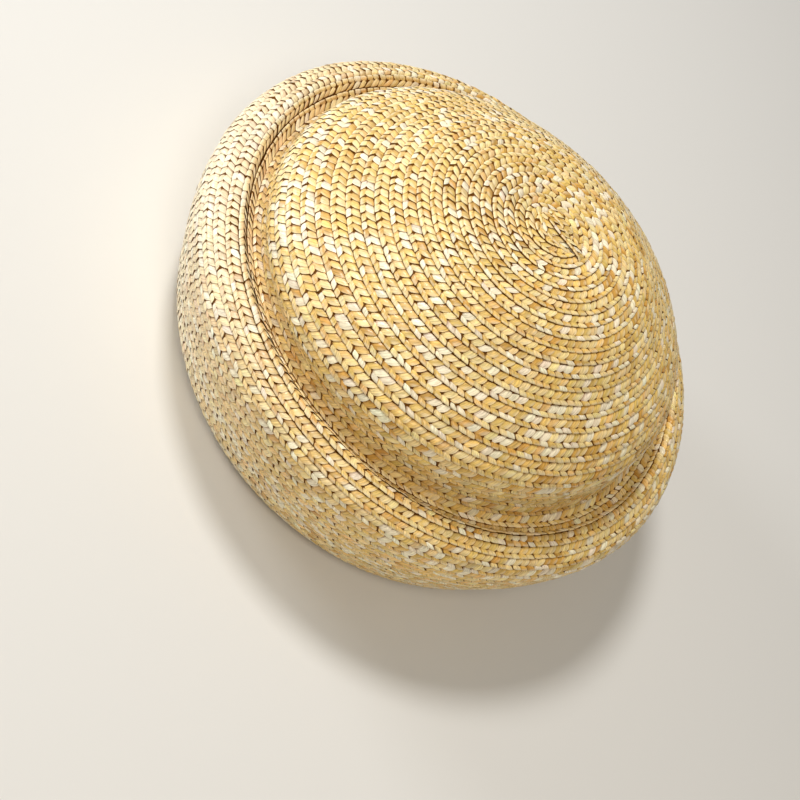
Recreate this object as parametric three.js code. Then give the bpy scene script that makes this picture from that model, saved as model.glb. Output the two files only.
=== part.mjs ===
// Straw sun hat sewn from one flat braid: a domed crown, a creased groove round it, a rolled ridge and
// a deep side that turns in under to the head opening. Millimetres, +Z up, front towards -Y.
// The hat rests on z = 0, and the head opening is centred on the origin, longer along Y.
import * as THREE from 'three';

// Driving sizes
const headLength = 196; // head opening, front to back
const headWidth = 168; // head opening, side to side
const footWidth = 10.5; // flat ring round the head opening that meets the surface
const sideHeight = 76.5; // ridge crest above the surface
const bellyRadius = 135; // widest ring of the side
const ridgeRadius = 121.1; // crest ring of the rolled ridge
const grooveRadius = 111.8; // floor ring of the groove
const grooveDepth = 5.3; // groove floor below the ridge crest
const crownRadius = 105.4; // widest ring of the crown
const crownRise = 68.5; // crown top above the ridge crest
const crownLeanX = -1; // crown centre from the centre of the head opening
const crownLeanY = -8.3;
const crownTilt = 0.059; // rise of the crown for each mm towards +X
const braidPitch = 5.5; // one sewn course of braid to the next
const braidWall = 1.6; // thickness of the braid
const courseStep = 0.9; // how far the lower edge of a course stands over the next course
const stepRun = 0.45; // length of the step down, along the wall
const seamLap = 2.6; // how far a piece is tucked under the edge of the one above it
const seamGap = 0.3; // clearance between two sewn pieces
const sectors = 36; // facets round the hat
const turnLimit = 18; // degrees that the section may turn between two rings of facets
const ringSpacing = 1; // least length between two rings of facets

const strawLight = { color: 0xe2c383, roughness: 0.5, metalness: 0 };
const strawGold = { color: 0xd9b670, roughness: 0.55, metalness: 0 };
const strawShade = { color: 0xcfae6c, roughness: 0.58, metalness: 0 };

// Crown sections. out: share of crownRadius. up: share of crownRise above the ridge crest.
const crownSections = [
  { out: 0, up: 1 },
  { out: 0.146, up: 0.998 },
  { out: 0.25, up: 0.994 },
  { out: 0.353, up: 0.977 },
  { out: 0.456, up: 0.94 },
  { out: 0.548, up: 0.879 },
  { out: 0.627, up: 0.8 },
  { out: 0.704, up: 0.712 },
  { out: 0.784, up: 0.626 },
  { out: 0.87, up: 0.53 },
  { out: 0.951, up: 0.41 },
  { out: 0.984, up: 0.344 },
  { out: 1, up: 0.266 },
  { out: 1.001, up: 0.174 },
];

// Groove sections. out: share of the way from the groove floor to the crest ring.
// down: share of grooveDepth below the crest. lean: share of the crown's lean and tilt.
const grooveSections = [
  { name: 'waist', out: -0.624, down: -1.038, lean: 0.65 },
  { name: 'wall', out: -0.484, down: -0.094, lean: 0.45 },
  { name: 'heel', out: -0.28, down: 0.623, lean: 0.28 },
  { name: 'floor', out: 0, down: 1, lean: 0.15 },
  { name: 'rise', out: 0.29, down: 0.925, lean: 0.06 },
  { name: 'climb', out: 0.559, down: 0.585, lean: 0 },
  { name: 'shoulder', out: 0.774, down: 0.264, lean: 0 },
];

// Side sections, from the crest down. out: share of the way from the head opening to the belly.
// up: share of sideHeight. oval: share of the opening's oval.
const sideSections = [
  { name: 'brink', out: 0.786, up: 0.973, oval: 0 },
  { name: 'roll', out: 0.895, up: 0.936, oval: 0 },
  { name: 'round', out: 0.97, up: 0.884, oval: 0 },
  { name: 'belly', out: 1, up: 0.818, oval: 0 },
  { name: 'side', out: 0.991, up: 0.748, oval: 0 },
  { name: 'side', out: 0.952, up: 0.608, oval: 0 },
  { name: 'side', out: 0.882, up: 0.471, oval: 0 },
  { name: 'side', out: 0.8, up: 0.336, oval: 0 },
  { name: 'turn', out: 0.725, up: 0.21, oval: 0 },
  { name: 'turn', out: 0.66, up: 0.14, oval: 0.05 },
  { name: 'turn', out: 0.56, up: 0.085, oval: 0.2 },
  { name: 'turn', out: 0.44, up: 0.044, oval: 0.55 },
  { name: 'turn', out: 0.33, up: 0.016, oval: 0.85 },
];

const openingRadius = (headLength + headWidth) / 4;
const openingOval = (headLength - headWidth) / (headLength + headWidth);

// Every station from the crown's top to the head opening, from the tables above. Each has a ring
// radius r, a height z, the share of the crown's lean, and how much longer than round it is along Y.
function hatStations() {
  const stations = [];
  for (const row of crownSections) {
    const z = sideHeight + row.up * crownRise;
    stations.push({ name: 'crown', r: row.out * crownRadius, z, lean: 1, oval: 0 });
  }
  for (const row of grooveSections) {
    const r = grooveRadius + row.out * (ridgeRadius - grooveRadius);
    stations.push({ name: row.name, r, z: sideHeight - row.down * grooveDepth, lean: row.lean, oval: 0 });
  }
  stations.push({ name: 'crest', r: ridgeRadius, z: sideHeight, lean: 0, oval: 0 });
  for (const row of sideSections) {
    const r = openingRadius + row.out * (bellyRadius - openingRadius);
    const oval = row.oval * openingOval;
    stations.push({ name: row.name, r, z: row.up * sideHeight, lean: 0, oval });
  }
  stations.push({ name: 'foot', r: openingRadius + footWidth, z: 0, lean: 0, oval: openingOval });
  stations.push({ name: 'edge', r: openingRadius, z: 0, lean: 0, oval: openingOval });
  return stations;
}

// A smooth section through the stations, as closely spaced samples with their length s along it
function smoothSection(stations) {
  const samplesEach = 10;
  const samples = [];
  const foot = stations.findIndex((item) => item.name === 'foot');
  const bent = stations.slice(0, foot + 1).map((item) => new THREE.Vector3(item.r, item.z, 0));
  const curve = new THREE.CatmullRomCurve3(bent, false, 'centripetal');
  let s = 0;
  for (let i = 0; i < stations.length - 1; i += 1) {
    const a = stations[i];
    const b = stations[i + 1];
    for (let j = 0; j < samplesEach; j += 1) {
      const share = j / samplesEach;
      const onCurve = curve.getPoint(Math.min(1, (i + share) / foot));
      const r = i < foot ? onCurve.x : THREE.MathUtils.lerp(a.r, b.r, share);
      const z = i < foot ? Math.max(0, onCurve.y) : 0;
      const last = samples[samples.length - 1];
      s += last ? Math.hypot(r - last.r, z - last.z) : 0;
      samples.push({
        name: j === 0 ? a.name : '',
        s,
        r,
        z,
        lean: THREE.MathUtils.lerp(a.lean, b.lean, share),
        oval: THREE.MathUtils.lerp(a.oval, b.oval, share),
      });
    }
  }
  const end = stations[stations.length - 1];
  const last = samples[samples.length - 1];
  samples.push({ ...end, s: s + Math.hypot(end.r - last.r, end.z - last.z) });
  return samples;
}

const section = smoothSection(hatStations());
const sectionLength = section[section.length - 1].s;

function lengthAt(name) {
  return section.find((item) => item.name === name).s;
}

// The section at length s, worked out between its two nearest samples, with the outward normal
function sectionAt(s) {
  const clamped = THREE.MathUtils.clamp(s, 0, sectionLength);
  let i = 1;
  while (i < section.length - 1 && section[i].s < clamped) {
    i += 1;
  }
  const a = section[i - 1];
  const b = section[i];
  const share = (clamped - a.s) / (b.s - a.s);
  const before = section[Math.max(0, i - 2)];
  const after = section[Math.min(section.length - 1, i + 1)];
  const run = Math.hypot(after.r - before.r, after.z - before.z);
  const mix = (key) => THREE.MathUtils.lerp(a[key], b[key], share);
  return {
    r: mix('r'),
    z: mix('z'),
    lean: mix('lean'),
    oval: mix('oval'),
    outR: -(after.z - before.z) / run,
    outZ: (after.r - before.r) / run,
  };
}

// A ring of points round the hat at length s, offset outwards from the section
function ringPoints(s, offset) {
  const at = sectionAt(s);
  const r = s <= 0 ? 0 : at.r + offset * at.outR;
  const level = s <= 0 ? at.z + offset : at.z + offset * at.outZ;
  const points = [];
  for (let i = 0; i < sectors; i += 1) {
    const angle = (2 * Math.PI * i) / sectors;
    const x = r * (1 - at.oval) * Math.cos(angle);
    const y = r * (1 + at.oval) * Math.sin(angle);
    const z = level + at.lean * crownTilt * x;
    points.push([x + at.lean * crownLeanX, y + at.lean * crownLeanY, z]);
  }
  return points;
}

// Lengths between start and end where the section has turned by turnLimit, or run for runLimit,
// since the last one
function turnStops(start, end, runLimit) {
  const stops = [];
  const heading = (at) => Math.atan2(at.outR, at.outZ);
  let lastHeading = heading(sectionAt(start));
  let lastLength = start;
  for (const item of section) {
    const now = heading(sectionAt(item.s));
    const turned = Math.abs(now - lastHeading) > THREE.MathUtils.degToRad(turnLimit);
    const clear = item.s - lastLength > ringSpacing && end - item.s > ringSpacing;
    if (clear && (turned || item.s - lastLength > runLimit)) {
      stops.push(item.s);
      lastHeading = now;
      lastLength = item.s;
    }
  }
  return stops;
}

// Outer line of a piece: each course starts flush and ends proud, then steps down to the next
function steppedLine(start, end) {
  const courses = Math.max(1, Math.round((end - start) / braidPitch));
  const footStart = lengthAt('foot') - braidPitch;
  const line = [];
  for (let i = 0; i < courses; i += 1) {
    const top = start + ((end - start) * i) / courses + (i === 0 ? 0 : stepRun);
    const low = start + ((end - start) * (i + 1)) / courses;
    const proud = low > footStart ? 0 : courseStep;
    line.push({ s: top, offset: 0 });
    for (const s of turnStops(top, low, braidPitch)) {
      line.push({ s, offset: (proud * (s - top)) / (low - top) });
    }
    line.push({ s: low, offset: proud });
  }
  return line;
}

// Inner line of a piece, one braid thickness inside the section, with a ring where the next piece
// starts under it
function innerLine(start, end) {
  const lapStart = end - seamLap;
  const between = turnStops(start, lapStart, 2 * braidPitch);
  return [start, ...between, lapStart, end].map((s) => ({ s, offset: -braidWall }));
}

// A tucked piece starts under the edge of the piece above it and steps out to the section
function tuckedLines(start, end) {
  const under = -(braidWall + seamGap);
  const from = start + seamGap;
  const outer = [{ s: start - seamLap, offset: under }, { s: from, offset: under }];
  outer.push(...steppedLine(from + stepRun, end));
  const inner = [{ s: start - seamLap, offset: under - braidWall }, { s: from, offset: under - braidWall }];
  inner.push(...innerLine(from + stepRun + braidWall, end));
  return { outer, inner };
}

// Mesh through a loop of rings: quads between neighbours, a fan where a ring closes on the axis
function wallMesh(name, outer, inner, look) {
  const loop = [...outer, ...inner.slice().reverse()];
  const rings = loop.map((item) => ({ pole: item.s <= 0, points: ringPoints(item.s, item.offset) }));
  const positions = [];
  for (const ring of rings) {
    ring.base = positions.length / 3;
    const used = ring.pole ? ring.points.slice(0, 1) : ring.points;
    used.forEach((point) => positions.push(...point));
  }
  const faces = [];
  rings.forEach((ring, k) => {
    const next = rings[(k + 1) % rings.length];
    if (ring.pole && next.pole) {
      return;
    }
    for (let i = 0; i < sectors; i += 1) {
      const j = (i + 1) % sectors;
      const a = ring.base + (ring.pole ? 0 : i);
      const b = ring.base + (ring.pole ? 0 : j);
      const c = next.base + (next.pole ? 0 : i);
      const d = next.base + (next.pole ? 0 : j);
      if (!next.pole) {
        faces.push(a, c, d);
      }
      if (!ring.pole) {
        faces.push(a, d, b);
      }
    }
  });
  const geometry = new THREE.BufferGeometry();
  geometry.setAttribute('position', new THREE.Float32BufferAttribute(positions, 3));
  geometry.setIndex(faces);
  geometry.computeVertexNormals();
  const mesh = new THREE.Mesh(geometry, new THREE.MeshStandardMaterial(look));
  mesh.name = name;
  return mesh;
}

// Crown: the dome and the groove round it, up to the shoulder of the ridge
function crown() {
  const end = lengthAt('shoulder');
  return wallMesh('crown', steppedLine(0, end), innerLine(0, end), strawLight);
}

// Ridge: the rolled courses from the groove over the crest
function ridge() {
  const { outer, inner } = tuckedLines(lengthAt('shoulder'), lengthAt('roll'));
  return wallMesh('ridge', outer, inner, strawGold);
}

// Side: the deep outer wall, the turn under and the flat ring round the head opening
function side() {
  const { outer, inner } = tuckedLines(lengthAt('roll'), sectionLength);
  return wallMesh('side', outer, inner, strawShade);
}

const hat = new THREE.Group();
hat.name = 'sun_hat';
hat.add(crown(), ridge(), side());

export default hat;
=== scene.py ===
# Straw sun hat, sewn from one long flat braid: every straw of the braid is its own small curved leaf
import bpy
import math
import numpy as np
from mathutils import Matrix, Vector


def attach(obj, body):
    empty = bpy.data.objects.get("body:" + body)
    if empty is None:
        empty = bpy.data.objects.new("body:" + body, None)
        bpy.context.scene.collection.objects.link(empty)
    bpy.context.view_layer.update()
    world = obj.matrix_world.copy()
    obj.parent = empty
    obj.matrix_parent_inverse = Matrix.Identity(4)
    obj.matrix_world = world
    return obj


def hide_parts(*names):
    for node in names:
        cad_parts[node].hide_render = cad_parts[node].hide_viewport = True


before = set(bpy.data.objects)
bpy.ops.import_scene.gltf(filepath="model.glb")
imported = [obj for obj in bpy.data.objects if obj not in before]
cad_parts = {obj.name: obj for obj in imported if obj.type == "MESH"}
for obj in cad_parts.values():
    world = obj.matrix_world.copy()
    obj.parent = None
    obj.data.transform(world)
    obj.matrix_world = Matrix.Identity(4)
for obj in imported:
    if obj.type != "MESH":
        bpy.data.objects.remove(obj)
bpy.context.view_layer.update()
print("frame loaded:", sorted(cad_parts))

mm = 0.001
seed = np.random.default_rng(57)

# The hat's section, in mm, from the top of the crown to the head opening: ring radius, height, how much
# of the crown's lean the ring takes, and how much of the opening's oval
hatForm = {
    "crownTop": 145.0,
    "crest": 76.5,
    "crownRadius": 105.4,
    "grooveRadius": 111.8,
    "ridgeRadius": 121.1,
    "grooveDepth": 5.3,
    "bellyRadius": 135.0,
    "openingRadius": 91.0,
    "openingOval": 0.0769,
    "footWidth": 10.5,
    "footBlend": 9,        # length over which the side turns into the flat ring that the hat rests on
    "footSink": 1.2,       # how far the straws of that ring lie inside the section, so that it rests on them
    "leanX": -1.0,
    "leanY": -8.3,
    "tilt": 0.059,
    "spanSteps": 24,       # steps of the section between two rings, and across the flat ring
    "footSteps": 12,
    # crown: share of crownRadius, share of the rise above the crest
    "crown": [(0, 1), (0.146, 0.998), (0.25, 0.994), (0.353, 0.977), (0.456, 0.94), (0.548, 0.879),
              (0.627, 0.8), (0.704, 0.712), (0.784, 0.626), (0.87, 0.53), (0.951, 0.41), (0.984, 0.344),
              (1, 0.266), (1.001, 0.174)],
    # groove: share of the way from its floor to the crest ring, share of its depth, share of the lean
    "groove": [(-0.624, -1.038, 0.65), (-0.484, -0.094, 0.45), (-0.28, 0.623, 0.28), (0, 1, 0.15),
               (0.29, 0.925, 0.06), (0.559, 0.585, 0), (0.774, 0.264, 0)],
    # side: share of the way from the opening to the belly, share of the crest's height, share of the oval
    "side": [(0.786, 0.973, 0), (0.895, 0.936, 0), (0.97, 0.884, 0), (1, 0.818, 0), (0.991, 0.748, 0),
             (0.952, 0.608, 0), (0.882, 0.471, 0), (0.8, 0.336, 0), (0.725, 0.21, 0), (0.66, 0.14, 0.05),
             (0.56, 0.085, 0.2), (0.44, 0.044, 0.55), (0.33, 0.016, 0.85)],
}

# The braid, in mm: where each turn of it ends along the section, and how its straws lie
braid = {
    "edges": [0, 5.4, 10.7, 15.9, 21.1, 26.7, 32.3, 37.7, 43.3, 48.7, 54.2, 59.6, 65.1, 70.8, 76.7, 82.8,
              88.6, 94.9, 101.3, 107.8, 114.2, 120.6, 126.9, 133.1, 139.4, 145.6, 151.8, 157.5, 163.1,
              168.9, 174.7, 180.5, 186.1, 191.6, 197.1],
    "later": 5.5,          # one turn to the next past the table
    "spare": 12,           # length of table past the head opening
    "tapers": 0.8,         # how much of a turn the braid narrows over at its end
    "firstTurn": 0.85,     # where the spiral's straws start, and the step at which its length is summed
    "turnStep": 0.002,
    "cell": 4.05,          # one straw to the next along the braid
    "lap": 0.3,            # share of a turn that is tucked under the turn above it
    "low": -0.3,           # height of the tape at a turn's inner edge and at its outer edge
    "high": 0.3,
    "tape": 0.25,          # thickness of the tape behind the straws
    "tuckGap": 1.1,        # how many thicknesses a tucked edge lies below the face of the turn above it
    "tapeStations": [0.1, 0.4, 0.67, 0.93],    # shares of a turn where the tape has an edge
    "tapePerTurn": 110,    # faces of tape in one turn
    "wander": 0.22,        # how far a turn strays along the section
    "wanderWaves": (5.3, 1.3, 17.7),
    "edgeUneven": 0.08,    # how far a turn's edge strays in height
    "edgeWaves": (31.4, 9.1, 0.7),
    "swell": 0.2,          # how far the surface strays in and out
    "swellRun": 30,        # length over which that starts and ends
    "swellWaves": [(2, 0.045, 0), (5, -0.071, 2)],    # waves round the hat, their twist and their start
    "startAzimuth": -5.0,  # where the spiral starts, in degrees
    "leastRadius": 2.2,    # ring radius below which a straw's length turns it no further
    "steps": [(21.5, 1), (23, 0.5), (26.9, 0.4), (27.5, 0.9), (28, 1)],      # how much the turns step up
    "gaps": [(26.2, 0), (26.35, 0.55), (26.75, 0.4), (27, 0.05), (27.25, 0.1), (27.4, 0.85), (27.8, 0.6),
             (28, 0.15), (28.5, 0)],   # how far the turns' edges stand open
    "ridgeShift": 1.8,     # how far the ridge's turns lie further out at the front
    "ridgeAt": 164,        # length along the section where they do so most, and how far it reaches
    "ridgeReach": 9,
    "frontAzimuth": -80,   # the front's direction there, in degrees
    "strands": 7,          # straws plaited together
    "strandRun": 9,        # how often a straw shows before the next one takes over
    "ownTone": 0.3,        # share of straws that don't keep to their strand's tone
}

# Columns of straws across one turn. across and half: shares of the turn. lean: the straws' angle to the
# braid. grid: faces along and across a straw. edge, top: height at its sides and in its middle. drop and
# wide: fall and width at its inner and its outer end. bow: bend along the turn. tilt: how much higher one
# side stands. roll: radius of the fold round the turn's edge. strand: which strand shows here. dark: painted
# shade at its low side, its inner end and its outer end. light: painted highlight at its high side.
straws = {
    "broad": {"across": 0.27, "half": 0.33, "lean": -58, "grid": (4, 4), "edge": 0.24, "top": 0.46,
              "dropIn": 0.42, "dropOut": 0.4, "wideIn": 0.96, "wideOut": 0.72, "bow": 0.3, "tilt": 0.26,
              "roll": 0, "strand": 0, "dark": (1.05, 0.45, 0.35), "light": 0.25},
    "short": {"across": 0.755, "half": 0.255, "lean": 58, "grid": (5, 3), "edge": 0.12, "top": 0.36,
              "dropIn": 0.45, "dropOut": 0, "wideIn": 0.5, "wideOut": 0.98, "bow": 0.1, "tilt": 0.14,
              "roll": 0.42, "strand": 3, "dark": (0.75, 0.5, 0.1), "light": 0.25},
    "innerBroad": {"across": -0.03, "half": 0.29, "lean": 48, "grid": (3, 2), "edge": 0.2, "top": 0.42,
                   "dropIn": 0.4, "dropOut": 0.4, "wideIn": 0.9, "wideOut": 0.84, "bow": -0.3, "tilt": 0.1,
                   "roll": 0, "strand": 5, "dark": (0.4, 0.5, 0.5), "light": 0.1},
    "innerShort": {"across": 0.46, "half": 0.25, "lean": -52, "grid": (3, 2), "edge": 0.18, "top": 0.4,
                   "dropIn": 0.42, "dropOut": 0.35, "wideIn": 0.74, "wideOut": 0.92, "bow": 0.2, "tilt": 0.1,
                   "roll": 0, "strand": 1, "dark": (0.4, 0.5, 0.5), "light": 0.1},
}

# Straw colours, as linear red, green and blue, with how often each is drawn
strawColours = {
    "cream": ((0.93, 0.82, 0.60), 0.14),
    "pale": ((0.88, 0.67, 0.30), 0.32),
    "golden": ((0.79, 0.53, 0.155), 0.36),
    "peach": ((0.84, 0.54, 0.19), 0.10),
    "ochre": ((0.66, 0.37, 0.08), 0.08),
}
toneSpread = {"bright": 0.08, "hue": 0.02}    # how much one straw differs from the next of its colour
# Painted shade: the dark brown seen between the straws, standing for the shaded straws behind them
gapShadeColour = (0.15, 0.055, 0.007)

# Painted sheen: one side of the hat, outside the groove, is whitened as a painted reflection of the pale room
paintedSheen = {
    "colour": (0.97, 0.89, 0.74),
    "share": 0.6,
    "azimuth": -150,       # middle of that side, in degrees
    "narrow": 5,           # the higher, the narrower the side
    "from": 140,           # length along the section where it starts, and how far it takes to come in
    "run": 30,
    "least": 0.1,          # share of it on the crown
}

# What all straws share. v is a straw's place from its inner to its outer end, from -1 to 1
strawShape = {
    "halfWidth": 0.54,     # share of the cell
    "endPower": 3,         # how late a straw narrows and falls towards its ends
    "roundPower": 2.2,     # how flat its back is
    "foldFrom": 0.5,       # v where a straw with a roll starts to turn down, and the rows after that
    "foldRows": [0.78, 1.0],
    "foldAngle": 125,      # degrees that it turns through
    "foldThin": 0.3,       # how much smaller the fold is at the straw's sides
    "slant": 0.015,        # how much further across the turn one side of it lies
}
# One straw differs from the next by about so much
strawSpread = {"lean": 0.1, "width": 0.05, "along": 0.14, "roll": 0.1, "across": 0.012, "tilt": 0.08,
               "height": 0.07, "shade": 0.05}
# The painted shade attribute: below edge a straw takes its edge colour, and above plain a painted highlight
shadeLevels = {"edge": 0.6, "plain": 0.75}
# Painted shade and painted highlight over each straw
strawShade = {
    "sideFrom": 0.35,      # where the shade at a side and at the inner end begins, and at the outer end
    "outFrom": 0.5,
    "sideMiddle": 0.75,    # strength of the side's shade in the middle, and what it gains outwards
    "sideGain": 0.35,
    "foldIn": 0.3,         # a folded straw: shade of the high side inwards of this v, and how much
    "foldDark": 0.3,
    "foldAt": 0.6,         # its painted highlight on the bend: v, reach and how much
    "foldReach": 0.25,
    "foldBright": 0.3,
    "lipFrom": 0.95,       # its painted shade at the end under the edge
    "lipDark": 0.6,
}


# Centripetal Catmull-Rom: each span is blended twice from straight lines between its knots, and the knots
# lie as far apart as the square root of the distance between the stations
def smoothLine(points, each):
    points = np.asarray(points, float)
    first = 2 * points[0] - points[1]
    last = 2 * points[-1] - points[-2]
    p = np.vstack([first, points, last])
    gap = np.sqrt(np.linalg.norm(np.diff(p[:, :2], axis=0), axis=1))
    knot = np.concatenate([[0], np.cumsum(gap)])
    rows = []
    for i in range(1, len(p) - 2):
        t = np.linspace(knot[i], knot[i + 1], each, endpoint=False)[:, None]
        mix = lambda a, b, lo, hi: a * (hi - t) / (hi - lo) + b * (t - lo) / (hi - lo)
        a1 = mix(p[i - 1], p[i], knot[i - 1], knot[i])
        a2 = mix(p[i], p[i + 1], knot[i], knot[i + 1])
        a3 = mix(p[i + 1], p[i + 2], knot[i + 1], knot[i + 2])
        b1 = mix(a1, a2, knot[i - 1], knot[i + 1])
        b2 = mix(a2, a3, knot[i], knot[i + 2])
        rows.append(mix(b1, b2, knot[i], knot[i + 1]))
    rows.append(points[-1:])
    return np.vstack(rows)


# The section as one line of rings: the tables' shares times the sizes that they follow, smoothed, and then
# straight across the flat ring. The outward normal is the line's direction turned by a quarter
def hatSection(form):
    rise = form["crownTop"] - form["crest"]
    rim = form["ridgeRadius"] - form["grooveRadius"]
    reach = form["bellyRadius"] - form["openingRadius"]
    rows = [(out * form["crownRadius"], form["crest"] + up * rise, 1, 0) for out, up in form["crown"]]
    rows += [(form["grooveRadius"] + out * rim, form["crest"] - down * form["grooveDepth"], lean, 0)
             for out, down, lean in form["groove"]]
    rows.append((form["ridgeRadius"], form["crest"], 0, 0))
    rows += [(form["openingRadius"] + out * reach, up * form["crest"], 0, oval)
             for out, up, oval in form["side"]]
    rows.append((form["openingRadius"] + form["footWidth"], 0, 0, 1))
    bent = smoothLine(rows, form["spanSteps"])
    flat = np.linspace(rows[-1], (form["openingRadius"], 0, 0, 1), form["footSteps"])[1:]
    line = np.vstack([bent, flat])
    line[:, 1] = np.maximum(line[:, 1], 0)
    s = np.concatenate([[0], np.cumsum(np.hypot(np.diff(line[:, 0]), np.diff(line[:, 1])))])
    dr, dz = np.gradient(line[:, 0], s), np.gradient(line[:, 1], s)
    size = np.hypot(dr, dz)
    return {"s": s, "r": line[:, 0], "z": line[:, 1], "lean": line[:, 2],
            "oval": line[:, 3] * form["openingOval"],
            "outR": -dz / size, "outZ": dr / size}


section = hatSection(hatForm)
sectionLength = section["s"][-1]
flatStart = sectionLength - hatForm["footWidth"] - hatForm["footBlend"]


# A point of the hat: its ring's radius and height at length s, moved out by h along the section's normal,
# turned to the angle phi, stretched to the opening's oval and shifted and tilted with the crown
def place(phi, s, h):
    at = {key: np.interp(s, section["s"], section[key]) for key in ("r", "z", "lean", "oval", "outR", "outZ")}
    flat = np.clip((s - flatStart) / hatForm["footBlend"], 0, 1)
    h = h - hatForm["footSink"] * flat * flat * (3 - 2 * flat)
    run = braid["swellRun"]
    swell = braid["swell"] * np.clip(s / run, 0, 1) * np.clip((flatStart - s) / run, 0, 1)
    waves = sum(np.sin(count * phi + s * twist + start) for count, twist, start in braid["swellWaves"])
    h = h + swell * waves * 0.5
    r = np.maximum(at["r"] + h * at["outR"], 0)
    x = r * (1 - at["oval"]) * np.cos(phi)
    y = r * (1 + at["oval"]) * np.sin(phi)
    z = at["z"] + h * at["outZ"] + at["lean"] * hatForm["tilt"] * x
    x = x + at["lean"] * hatForm["leanX"]
    y = y + at["lean"] * hatForm["leanY"]
    return np.stack([x, y, np.maximum(z, 0)], -1) * mm


# The spiral: turn t = (phi - start) / 2 pi ends at the table's length for t, so an edge moves out by one
# course in each turn. At the head opening the outer edge stays where it is, and the last turn narrows to it.
edgeTable = list(braid["edges"])
while edgeTable[-1] < sectionLength + braid["spare"]:
    edgeTable.append(edgeTable[-1] + braid["later"])
edgeTable = np.minimum(edgeTable, sectionLength)
endTurn = float(np.argmax(edgeTable)) + braid["tapers"]
startAngle = math.radians(braid["startAzimuth"])


# Length along the section of a turn's outer edge: the table's, and a wander that is a product of two waves
def outerEdge(turn):
    edge = np.interp(turn, np.arange(len(edgeTable)), edgeTable)
    slow, start, quick = braid["wanderWaves"]
    wander = braid["wander"] * np.sin(turn * slow + start) * np.sin(turn * quick)
    return edge + wander * np.clip(turn - 1, 0, 1)


# Length along the section at share u of a turn; on the ridge the turns lie further out at the front
def alongTurn(turn, u):
    outer, inner = outerEdge(turn), outerEdge(turn - 1)
    s = inner + (outer - inner) * u
    front = np.maximum(np.cos(startAngle + 2 * math.pi * turn - math.radians(braid["frontAzimuth"])), 0)
    s = s + braid["ridgeShift"] * front * np.exp(-((s - braid["ridgeAt"]) / braid["ridgeReach"]) ** 2)
    return np.maximum(s, 0)


# Height of the tape at share u of a turn: a straight climb to its outer edge, which stands open further
# in some turns and is nowhere quite even
def tapeHeight(turn, u):
    quick, slow, start = braid["edgeWaves"]
    lift = np.interp(turn, *zip(*braid["gaps"]))
    lift = lift + braid["edgeUneven"] * np.sin(turn * quick) * np.sin(turn * slow + start)
    climb = np.interp(turn, *zip(*braid["steps"])) * (braid["high"] - braid["low"])
    return (braid["low"] + braid["high"] - climb) / 2 + climb * u + lift * np.clip(u, 0, 1) ** 2


# Stations along the spiral, one for each straw: the braid's length is the sum of radius times turn
fineTurn = np.arange(braid["firstTurn"], len(edgeTable) - 1, braid["turnStep"])
fineRadius = np.interp(alongTurn(fineTurn, 0.5), section["s"], section["r"])
fineLength = np.concatenate([[0], np.cumsum(2 * math.pi * np.diff(fineTurn) * fineRadius[1:])])
stationTurn = np.interp(np.arange(0, np.interp(endTurn, fineTurn, fineLength), braid["cell"]),
                        fineLength, fineTurn)
print("braid stations:", len(stationTurn), "turns:", round(endTurn, 1),
      "length m:", round(len(stationTurn) * braid["cell"] * mm, 1))

# Tones to draw from. The primes spread the strands and their straws over the table
tones = {"count": 9973, "strandPrime": 1543, "strawPrime": 389, "delay": 29}
toneTable = seed.random(tones["count"])


# A tone for each straw: the strand that shows at this station keeps its tone until a new straw takes over.
# The painted sheen's share falls off round the hat as a power of the cosine, and comes in along the section
def strawTone(stations, part):
    count = len(stations)
    strand = (stations + part["strand"]) % braid["strands"]
    straw = (stations + strand * tones["delay"]) // (braid["strands"] * braid["strandRun"])
    shared = toneTable[(strand * tones["strandPrime"] + straw * tones["strawPrime"]) % len(toneTable)]
    mixed = np.where(seed.random(count) < braid["ownTone"], seed.random(count), shared)
    names = list(strawColours)
    share = np.cumsum([strawColours[n][1] for n in names])
    pick = np.searchsorted(share / share[-1], mixed)
    colour = np.array([strawColours[n][0] for n in names])[pick]
    turn = stationTurn[stations]
    sheenShare = np.cos(startAngle + 2 * math.pi * turn - math.radians(paintedSheen["azimuth"])) * 0.5 + 0.5
    come = np.clip((outerEdge(turn) - paintedSheen["from"]) / paintedSheen["run"], paintedSheen["least"], 1)
    sheenShare = sheenShare ** paintedSheen["narrow"] * come * paintedSheen["share"]
    # the painted sheen is mixed into the straw's own colour
    colour = colour + (np.array(paintedSheen["colour"]) - colour) * sheenShare[:, None]
    colour = colour * seed.normal(1, toneSpread["bright"], (count, 1))
    return np.clip(colour * seed.normal(1, toneSpread["hue"], (count, 3)), 0, 1)


# The faces of many like grids of points, one for each straw: each joins a point, its neighbours along the
# row and in the next row, and the one across
def gridFaces(count, rows, cols, flip):
    i, j = np.meshgrid(np.arange(rows - 1), np.arange(cols - 1), indexing="ij")
    a = (i * cols + j).ravel()
    quad = np.stack([a, a + 1, a + cols + 1, a + cols], -1)
    if flip:
        quad = quad[:, ::-1]
    return (np.arange(count)[:, None, None] * rows * cols + quad[None]).reshape(-1, 4)


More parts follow.
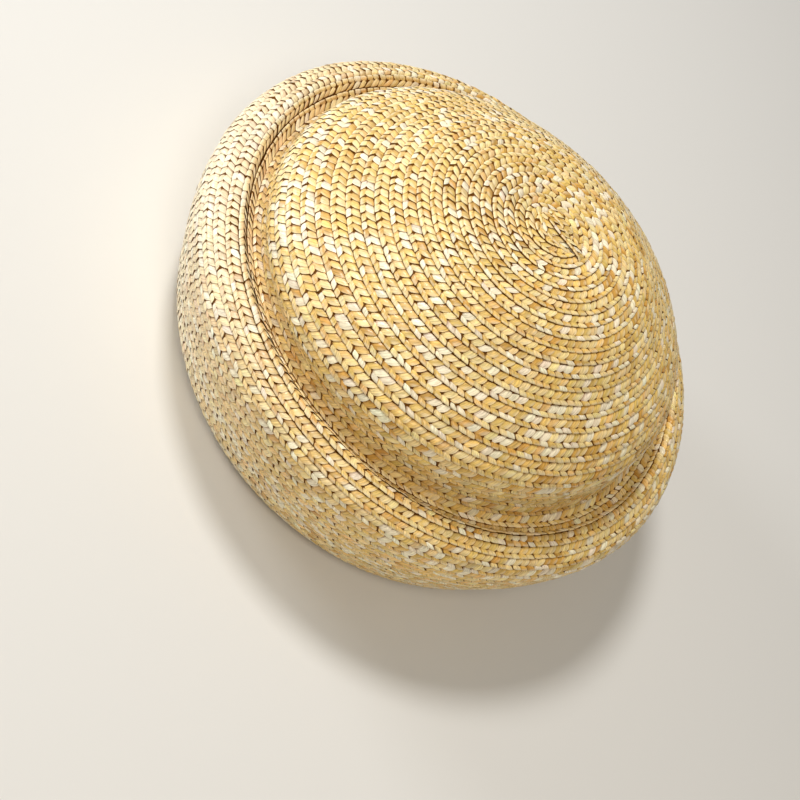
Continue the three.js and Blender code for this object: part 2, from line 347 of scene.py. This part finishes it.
# One column of straws. v runs across the turn, from its inner to its outer edge, and q along it, both from
# -1 to 1. A straw leans by v, is bowed along the turn, narrows at its ends, stands higher at one side than
# at the other, and dips under its neighbours at its ends. One with a roll turns down round the turn's edge:
# past the middle of its outer half it follows a circle instead of going on.
def strawColumn(turns, part, face, route):
    count = len(turns)
    steps, sides = part["grid"]
    form = strawShape
    fold = form["foldFrom"]
    v = np.linspace(-1, 1, steps + 1)
    if part["roll"]:
        v = np.concatenate([np.linspace(-1, fold, steps - 1), form["foldRows"]])
    v = v[None, :, None]
    q = np.linspace(-1, 1, sides + 1)[None, None, :]
    vary = lambda what: seed.normal(0, strawSpread[what], (count, 1, 1))
    turn = turns[:, None, None]
    width = route["width"](turn)
    half = part["half"] * width
    lean = math.radians(part["lean"]) + vary("lean")
    ends = np.where(v < 0, part["wideIn"], part["wideOut"])
    narrow = 1 - (1 - ends) * np.abs(v) ** form["endPower"]
    wide = braid["cell"] * form["halfWidth"] * narrow * (1 + vary("width"))
    flat = np.minimum(v, fold) if part["roll"] else v
    along = flat * half / np.tan(lean) + q * wide + part["bow"] * (1 - v * v) + vary("along")
    bend = np.clip(v - fold, 0, 1) / (1 - fold) * math.radians(form["foldAngle"])
    roll = part["roll"] * (1 - form["foldThin"] * q * q) * (1 + vary("roll"))
    u = part["across"] + (flat * half + roll * np.sin(bend)) / width + form["slant"] * q + vary("across")
    drop = np.where(v < 0, part["dropIn"], part["dropOut"])
    relief = part["edge"] + (part["top"] - part["edge"]) * (1 - np.abs(q) ** form["roundPower"])
    relief = relief + (part["tilt"] + vary("tilt")) * q
    relief = relief - drop * np.abs(v) ** form["endPower"] + vary("height")
    relief = relief - roll * (1 - np.cos(bend))
    relief = relief if face > 0 else -braid["tape"] - relief
    points = route["point"](turn, along, u, part["across"], relief)
    # painted shade and painted highlight at each point of the straw
    shade = shadeOfStraw(v, q, part)
    paintedShade = np.clip(shade + vary("shade") + 0 * u, 0, 1)
    uv = np.stack(np.broadcast_arrays(v * 0.5 + 0 * u, q * 0.5 + 0 * u), -1)
    return points, paintedShade, uv


# The painted shade over one straw: it darkens in straight ramps towards its low side and its two ends, with a
# painted highlight towards its high side. A folded one is painted bright on its bend and dark at its end.
def shadeOfStraw(v, q, part):
    look = strawShade
    darkSide, darkIn, darkOut = part["dark"]
    sideFrom, outFrom = look["sideFrom"], look["outFrom"]
    strength = look["sideMiddle"] + look["sideGain"] * v
    side = darkSide * np.clip(-q - sideFrom, 0, 1) / (1 - sideFrom) * strength
    shade = shadeLevels["plain"] - side + part["light"] * np.clip(q, 0, 1)
    shade = shade - darkIn * np.clip(-v - sideFrom, 0, 1) / (1 - sideFrom)
    shade = shade - darkOut * np.clip(v - outFrom, 0, 1) / (1 - outFrom)
    if part["roll"]:
        shade = shade - look["foldDark"] * np.clip(q, 0, 1) * np.clip(look["foldIn"] - v, 0, 1)
        shade = shade + look["foldBright"] * (np.abs(v - look["foldAt"]) < look["foldReach"])
        shade = shade - look["lipDark"] * (v > look["lipFrom"])
    return shade


# The route of the spiral. A point lies past the turn's own station by its length along the braid over the
# ring's radius there, and over the tape by its lift
def spiralPoint(turn, along, u, across, lift):
    radius = np.interp(alongTurn(turn, np.clip(across, 0, 1)), section["s"], section["r"])
    t = turn + along / np.maximum(radius, braid["leastRadius"]) / (2 * math.pi)
    return place(startAngle + 2 * math.pi * t, alongTurn(t, u), tapeHeight(t, u) + lift)


# How far a turn's tucked edge rises to lie against the underside of the turn above it
def spiralTuck(turn):
    under = tapeHeight(turn - 1, 1 - braid["lap"]) - braid["tuckGap"] * braid["tape"]
    return under - tapeHeight(turn, -braid["lap"])


# A turn is as wide as the length between its two edges
def spiralWidth(turn):
    return outerEdge(turn) - outerEdge(turn - 1)


spiral = {"width": spiralWidth, "point": spiralPoint, "tuck": spiralTuck}


# The braid's first lengths lie straight, beside each other, on the crown's flat top, in mm. from, to: along
# it. inner, outer: its edges, across it. low, high: height of the tape at those edges. swing: how fast its
# ends turn to the crown's middle. open: how far its outer edge stands open at the far end.
startStrips = {
    "over": {"from": -6.5, "to": 19.0, "inner": 5.2, "outer": -0.5, "low": 0.3, "high": 1.3, "swing": 0.004,
             "open": 0.9},
    "under": {"from": -10.5, "to": 15.5, "inner": 0.4, "outer": -5.6, "low": 0.0, "high": 0.5, "swing": 0.030,
              "open": 0},
    "behind": {"from": -8.0, "to": 8.0, "inner": 10.2, "outer": 4.6, "low": 0.0, "high": 0.5, "swing": 0.0,
               "open": 0},
}
# Their ends fall by so much, at a power of the length, and the open edge closes there at another
stripEnds = {"fall": 1.3, "fallPower": 6, "closePower": 8}
stripSteps = 24


# A straight strip: a along it, b across it, turned to the spiral's first angle. Its two ends swing towards
# the crown's middle by the square of the length from its own middle, and sink under the turns round them.
def stripRoute(part):
    middle, reach = (part["from"] + part["to"]) / 2, (part["to"] - part["from"]) / 2

    def point(at, along, u, across, lift):
        a = at + along
        b = part["inner"] + (part["outer"] - part["inner"]) * u + part["swing"] * (a - middle) ** 2
        run = (a - middle) / reach
        h = part["low"] + (part["high"] - part["low"]) * u + lift
        h = h - stripEnds["fall"] * np.abs(run) ** stripEnds["fallPower"]
        close = 1 - np.abs(run) ** stripEnds["closePower"]
        h = h + part["open"] * np.clip(u, 0, 1) * np.clip(0.5 + 0.5 * run, 0, 1) * close
        return place(startAngle + np.arctan2(b, a), np.hypot(a, b), h)

    def width(at):
        return part["inner"] - part["outer"] + 0 * at

    def tuck(at):
        return 0 * at

    return {"width": width, "point": point, "tuck": tuck}


# The tape behind the straws: a thin band that follows its route from the tucked edge to the lip, with its
# ends drawn together
def tapeBand(first, last, steps, route):
    t = np.linspace(first, last, steps)[:, None]
    top = np.array([-braid["lap"]] + braid["tapeStations"])
    u = np.concatenate([top, top[::-1]])[None, :]
    under = np.repeat([0, 1], len(top))[None, :]
    lift = route["tuck"](t) * (u < 0) - under * braid["tape"]
    band = route["point"](t, 0 * t, u, 0.5, lift)
    ends = band[[0, -1]].mean(1, keepdims=True) + 0 * band[[0, -1]]
    return np.concatenate([ends[:1], band, ends[1:]])


uvScatter = 40    # each straw's own place in the grain pattern is drawn from a square this wide


# One mesh from blocks of straws and closed bands of tape: all points in one array, with each block's face
# numbers moved on by the points before it. A band's faces join its rings, and its last point to its first
def makeMesh(name, blocks, bands):
    points, faces, colours, paintedShades, uvs = [], [], [], [], []
    base = 0
    for block, tone, flip in blocks:
        grid, paintedShade, uv = block
        count, rows, cols = paintedShade.shape
        points.append(grid.reshape(-1, 3))
        faces.append(gridFaces(count, rows, cols, flip) + base)
        colours.append(np.repeat(tone, rows * cols, 0))
        paintedShades.append(paintedShade.ravel())
        shift = seed.random((count, 1, 1, 2)) * uvScatter
        uvs.append((uv + shift).reshape(-1, 2))
        base += count * rows * cols
    strawFaces = sum(len(f) for f in faces)
    for band in bands:
        steps, around = band.shape[:2]
        i, j = np.meshgrid(np.arange(steps - 1), np.arange(around), indexing="ij")
        a = (i * around + j).ravel()
        b = (i * around + (j + 1) % around).ravel()
        faces.append(np.stack([a, a + around, b + around, b], -1) + base)
        points.append(band.reshape(-1, 3))
        # the tape takes the painted shade colour
        colours.append(np.tile([gapShadeColour], (steps * around, 1)))
        paintedShades.append(np.full(steps * around, shadeLevels["edge"]))
        uvs.append(np.zeros((steps * around, 2)))
        base += steps * around
    co = np.vstack(points).astype(np.float32)
    quads = np.vstack(faces).astype(np.int32)
    mesh = bpy.data.meshes.new(name)
    mesh.vertices.add(len(co))
    mesh.vertices.foreach_set("co", co.ravel())
    mesh.loops.add(quads.size)
    mesh.loops.foreach_set("vertex_index", quads.ravel())
    mesh.polygons.add(len(quads))
    mesh.polygons.foreach_set("loop_start", np.arange(0, quads.size, 4, dtype=np.int32))
    mesh.polygons.foreach_set("use_smooth", np.ones(len(quads), bool))
    mesh.polygons.foreach_set("material_index", (np.arange(len(quads)) >= strawFaces).astype(np.int32))
    mesh.update(calc_edges=True)
    # the colour attribute's alpha carries the painted shade and highlight
    rgba = np.hstack([np.vstack(colours), np.concatenate(paintedShades)[:, None]]).astype(np.float32)
    mesh.attributes.new("straw", "FLOAT_COLOR", "POINT").data.foreach_set("color", rgba.ravel())
    layer = mesh.uv_layers.new(name="strawUv")
    layer.data.foreach_set("uv", np.vstack(uvs)[quads.ravel()].astype(np.float32).ravel())
    mesh.materials.append(straw)
    mesh.materials.append(tape)
    piece = bpy.data.objects.new(name, mesh)
    bpy.context.scene.collection.objects.link(piece)
    print(name, "triangles:", 2 * len(quads))
    return piece


strawFinish = {
    "roughness": 0.38,
    "specular": 0.3,
    "coat": 0.15,
    "coatRoughness": 0.15,
    "grain": 20.0,          # fine lines across one straw
    "grainDark": 0.3,
    "grainBump": 0.5,
    "edgeColour": (0.30, 0.10, 0.006, 1),    # straw ends and sides in the shade of their neighbours
    "edgeShare": 0.95,
    "glintColour": (0.97, 0.86, 0.62, 1),    # painted highlight on raised sides and folds
    "glintShare": 0.5,
}
# The tape behind the straws is dull and shows only as the dark between them: its colour is painted shade
tapeFinish = {"roughness": 0.85, "specular": 0.1, "coat": 0.0, "coatRoughness": 0.5, "grain": 34.0,
              "grainDark": 0.2, "grainBump": 0.2, "edgeColour": (0.2, 0.08, 0.012, 1), "edgeShare": 0.5,
              "glintColour": (0.5, 0.3, 0.1, 1), "glintShare": 0.0}
# The noise behind the grain: its scale along a straw and what divides grain across it, its detail, the
# levels that are stretched to full contrast, and the height of the lines in metres
grainNoise = {"along": 1.2, "across": 3, "detail": 3.0, "low": 0.3, "high": 0.7, "height": 0.0001}


# Straw: its own colour times the grain, mixed to the edge colour as painted shade and to the glint colour as
# a painted highlight, under a thin gloss, with the grain as bump
def strawMaterial(name, finish):
    material = bpy.data.materials.new(name)
    material.use_nodes = True
    tree = material.node_tree
    tree.nodes.clear()
    add = tree.nodes.new
    link = tree.links.new
    output = add("ShaderNodeOutputMaterial")
    shader = add("ShaderNodeBsdfPrincipled")
    shader.inputs["Roughness"].default_value = finish["roughness"]
    shader.inputs["Specular IOR Level"].default_value = finish["specular"]
    shader.inputs["Coat Weight"].default_value = finish["coat"]
    shader.inputs["Coat Roughness"].default_value = finish["coatRoughness"]
    link(shader.outputs[0], output.inputs[0])
    colour = add("ShaderNodeAttribute")
    colour.attribute_name = "straw"
    uv = add("ShaderNodeUVMap")
    uv.uv_map = "strawUv"
    stretch = add("ShaderNodeMapping")
    stretch.inputs["Scale"].default_value = (grainNoise["along"], finish["grain"] / grainNoise["across"], 1)
    link(uv.outputs[0], stretch.inputs[0])
    grain = add("ShaderNodeTexNoise")
    grain.inputs["Scale"].default_value = 1.0
    grain.inputs["Detail"].default_value = grainNoise["detail"]
    link(stretch.outputs[0], grain.inputs["Vector"])
    shade = add("ShaderNodeMapRange")
    shade.inputs["From Min"].default_value = grainNoise["low"]
    shade.inputs["From Max"].default_value = grainNoise["high"]
    shade.inputs["To Min"].default_value = 1 - finish["grainDark"]
    shade.inputs["To Max"].default_value = 1 + finish["grainDark"]
    link(grain.outputs["Fac"], shade.inputs["Value"])
    toned = add("ShaderNodeVectorMath")
    toned.operation = "SCALE"
    link(colour.outputs["Color"], toned.inputs[0])
    link(shade.outputs["Result"], toned.inputs["Scale"])
    # painted shade: a low shade value mixes the straw to its edge colour
    ends = add("ShaderNodeMapRange")
    ends.inputs["From Min"].default_value = 0.0
    ends.inputs["From Max"].default_value = shadeLevels["edge"]
    ends.inputs["To Min"].default_value = finish["edgeShare"]
    ends.inputs["To Max"].default_value = 0.0
    link(colour.outputs["Alpha"], ends.inputs["Value"])
    mix = add("ShaderNodeMix")
    mix.data_type = "RGBA"
    link(ends.outputs["Result"], mix.inputs["Factor"])
    link(toned.outputs[0], mix.inputs["A"])
    mix.inputs["B"].default_value = finish["edgeColour"]
    # painted highlight: a high shade value mixes it to the glint colour
    glint = add("ShaderNodeMapRange")
    glint.inputs["From Min"].default_value = shadeLevels["plain"]
    glint.inputs["From Max"].default_value = 1.0
    glint.inputs["To Min"].default_value = 0.0
    glint.inputs["To Max"].default_value = finish["glintShare"]
    link(colour.outputs["Alpha"], glint.inputs["Value"])
    lit = add("ShaderNodeMix")
    lit.data_type = "RGBA"
    link(glint.outputs["Result"], lit.inputs["Factor"])
    link(mix.outputs["Result"], lit.inputs["A"])
    lit.inputs["B"].default_value = finish["glintColour"]
    link(lit.outputs["Result"], shader.inputs["Base Color"])
    bump = add("ShaderNodeBump")
    bump.inputs["Strength"].default_value = finish["grainBump"]
    bump.inputs["Distance"].default_value = grainNoise["height"]
    link(grain.outputs["Fac"], bump.inputs["Height"])
    link(bump.outputs["Normal"], shader.inputs["Normal"])
    return material


straw = strawMaterial("glossyStraw", strawFinish)
tape = strawMaterial("shadedTape", tapeFinish)

# Which turns of the braid each piece holds, and the CAD node that it stands for
pieces = {
    "crown_top": {"turns": (0, 15), "node": "crown", "slot": "straw_light"},
    "crown_wall": {"turns": (15, 21), "node": "crown", "slot": "straw_light"},
    "groove": {"turns": (21, 27), "node": "crown", "slot": "straw_light"},
    "ridge_roll": {"turns": (27, 29.5), "node": "ridge", "slot": "straw_gold"},
    "side_wall": {"turns": (29.5, 35.5), "node": "side", "slot": "straw_shade"},
    "side_lower": {"turns": (35.5, 41), "node": "side", "slot": "straw_shade"},
    "head_rim": {"turns": (41, math.ceil(endTurn)), "node": "side", "slot": "straw_shade"},
}

for name, part in pieces.items():
    lo, hi = part["turns"]
    stations = np.nonzero((stationTurn >= lo) & (stationTurn < hi))[0]
    turns = stationTurn[stations]
    blocks = []
    for column, look in straws.items():
        face = -1 if column.startswith("inner") else 1
        blocks.append((strawColumn(turns, look, face, spiral), strawTone(stations, look), face > 0))
    first, last = max(lo, float(turns[0])), min(hi, float(turns[-1]))
    bands = [tapeBand(first, last, int((last - first) * braid["tapePerTurn"]), spiral)]
    if name == "crown_top":
        for strip in startStrips.values():
            route = stripRoute(strip)
            lengths = np.arange(strip["from"], strip["to"], braid["cell"])
            for column in ("broad", "short"):
                look = straws[column]
                shades = strawTone(np.arange(len(lengths)), look)
                blocks.append((strawColumn(lengths, look, 1, route), shades, True))
            bands.append(tapeBand(strip["from"], strip["to"], stripSteps, route))
    piece = makeMesh(name, blocks, bands)
    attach(piece, "root")
    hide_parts(part["node"])
print("braid made")

floorSet = {"size": 6.0, "colour": (0.78, 0.77, 0.75, 1), "roughness": 0.9}


# A square of pale paper under the hat
def paleFloor(part):
    mesh = bpy.data.meshes.new("floor")
    half = part["size"] / 2
    corners = [(-half, -half, 0), (half, -half, 0), (half, half, 0), (-half, half, 0)]
    mesh.from_pydata(corners, [], [(0, 1, 2, 3)])
    material = bpy.data.materials.new("palePaper")
    material.use_nodes = True
    shader = material.node_tree.nodes["Principled BSDF"]
    shader.inputs["Base Color"].default_value = part["colour"]
    shader.inputs["Roughness"].default_value = part["roughness"]
    mesh.materials.append(material)
    floor = bpy.data.objects.new("floor", mesh)
    bpy.context.scene.collection.objects.link(floor)
    return floor


paleFloor(floorSet)

# Soft studio light: a key above the left of the hat, a cool side light low beside it, a warm fill from the
# front, and a pale room
lightAim = (0, 0, 0.08)
lights = {
    "key": {"at": (-0.7, 0.05, 1.3), "size": 0.33, "power": 11.6, "colour": (1.0, 0.985, 0.95)},
    "side": {"at": (-1.38, -0.12, 0.36), "size": 0.5, "power": 10.0, "colour": (0.95, 0.98, 1.0)},
    "fill": {"at": (0.25, -0.95, 1.45), "size": 0.7, "power": 10.5, "colour": (1.0, 0.91, 0.76)},
}
roomLight = {"colour": (1.0, 0.98, 0.95, 1), "strength": 0.17}


# A round lamp whose face is turned to the aim
def areaLight(name, part, aim):
    data = bpy.data.lights.new(name, "AREA")
    data.shape = "DISK"
    data.size = part["size"]
    data.energy = part["power"]
    data.color = part["colour"]
    lamp = bpy.data.objects.new(name, data)
    bpy.context.scene.collection.objects.link(lamp)
    lamp.location = part["at"]
    lamp.rotation_euler = (aim - Vector(part["at"])).to_track_quat("-Z", "Y").to_euler()
    return lamp


for name, part in lights.items():
    areaLight(name, part, Vector(lightAim))
world = bpy.data.worlds.new("room")
world.use_nodes = True
world.node_tree.nodes["Background"].inputs["Color"].default_value = roomLight["colour"]
world.node_tree.nodes["Background"].inputs["Strength"].default_value = roomLight["strength"]
bpy.context.scene.world = world
bpy.context.scene.view_settings.view_transform = "Standard"

# The photographer's view: tipped over to the side, so that the crown shows up and to the right
photoView = {
    "down": 47.76,               # degrees below the horizon
    "roll": 52.09,               # degrees that the camera is tipped
    "away": 697.3,               # mm from the top of the crown
    "shift": (70.91, 77.36),     # mm that the crown's top lies right of and above the picture's middle
    "focal": 1603.7 / 800 * 36,  # mm of lens, from 1603.7 pixels in a picture of 800
    "sensor": 36,                # mm
    "clip": (0.01, 50),          # metres
}


# The camera tips down from level and rolls about its own axis. It stands back from the crown's top, moved
# by the shift so that the top lies off the picture's middle
def photoCamera(part):
    down, roll = math.radians(part["down"]), math.radians(part["roll"])
    back = Vector((0, -math.cos(down), math.sin(down)))
    level = Vector((1, 0, 0))
    rise = Vector((0, math.sin(down), math.cos(down)))
    right = level * math.cos(roll) + rise * math.sin(roll)
    up = rise * math.cos(roll) - level * math.sin(roll)
    top = Vector((0, 0, hatForm["crownTop"]))
    at = top + back * part["away"] - right * part["shift"][0] - up * part["shift"][1]
    data = bpy.data.cameras.new("camera")
    data.sensor_width = part["sensor"]
    data.lens = part["focal"]
    data.clip_start, data.clip_end = part["clip"]
    camera = bpy.data.objects.new("camera", data)
    bpy.context.scene.collection.objects.link(camera)
    turn = Matrix((right, up, back)).transposed().to_4x4()
    camera.matrix_world = Matrix.Translation(at * mm) @ turn
    bpy.context.scene.camera = camera
    return camera


photoCamera(photoView)
print("scene ready")
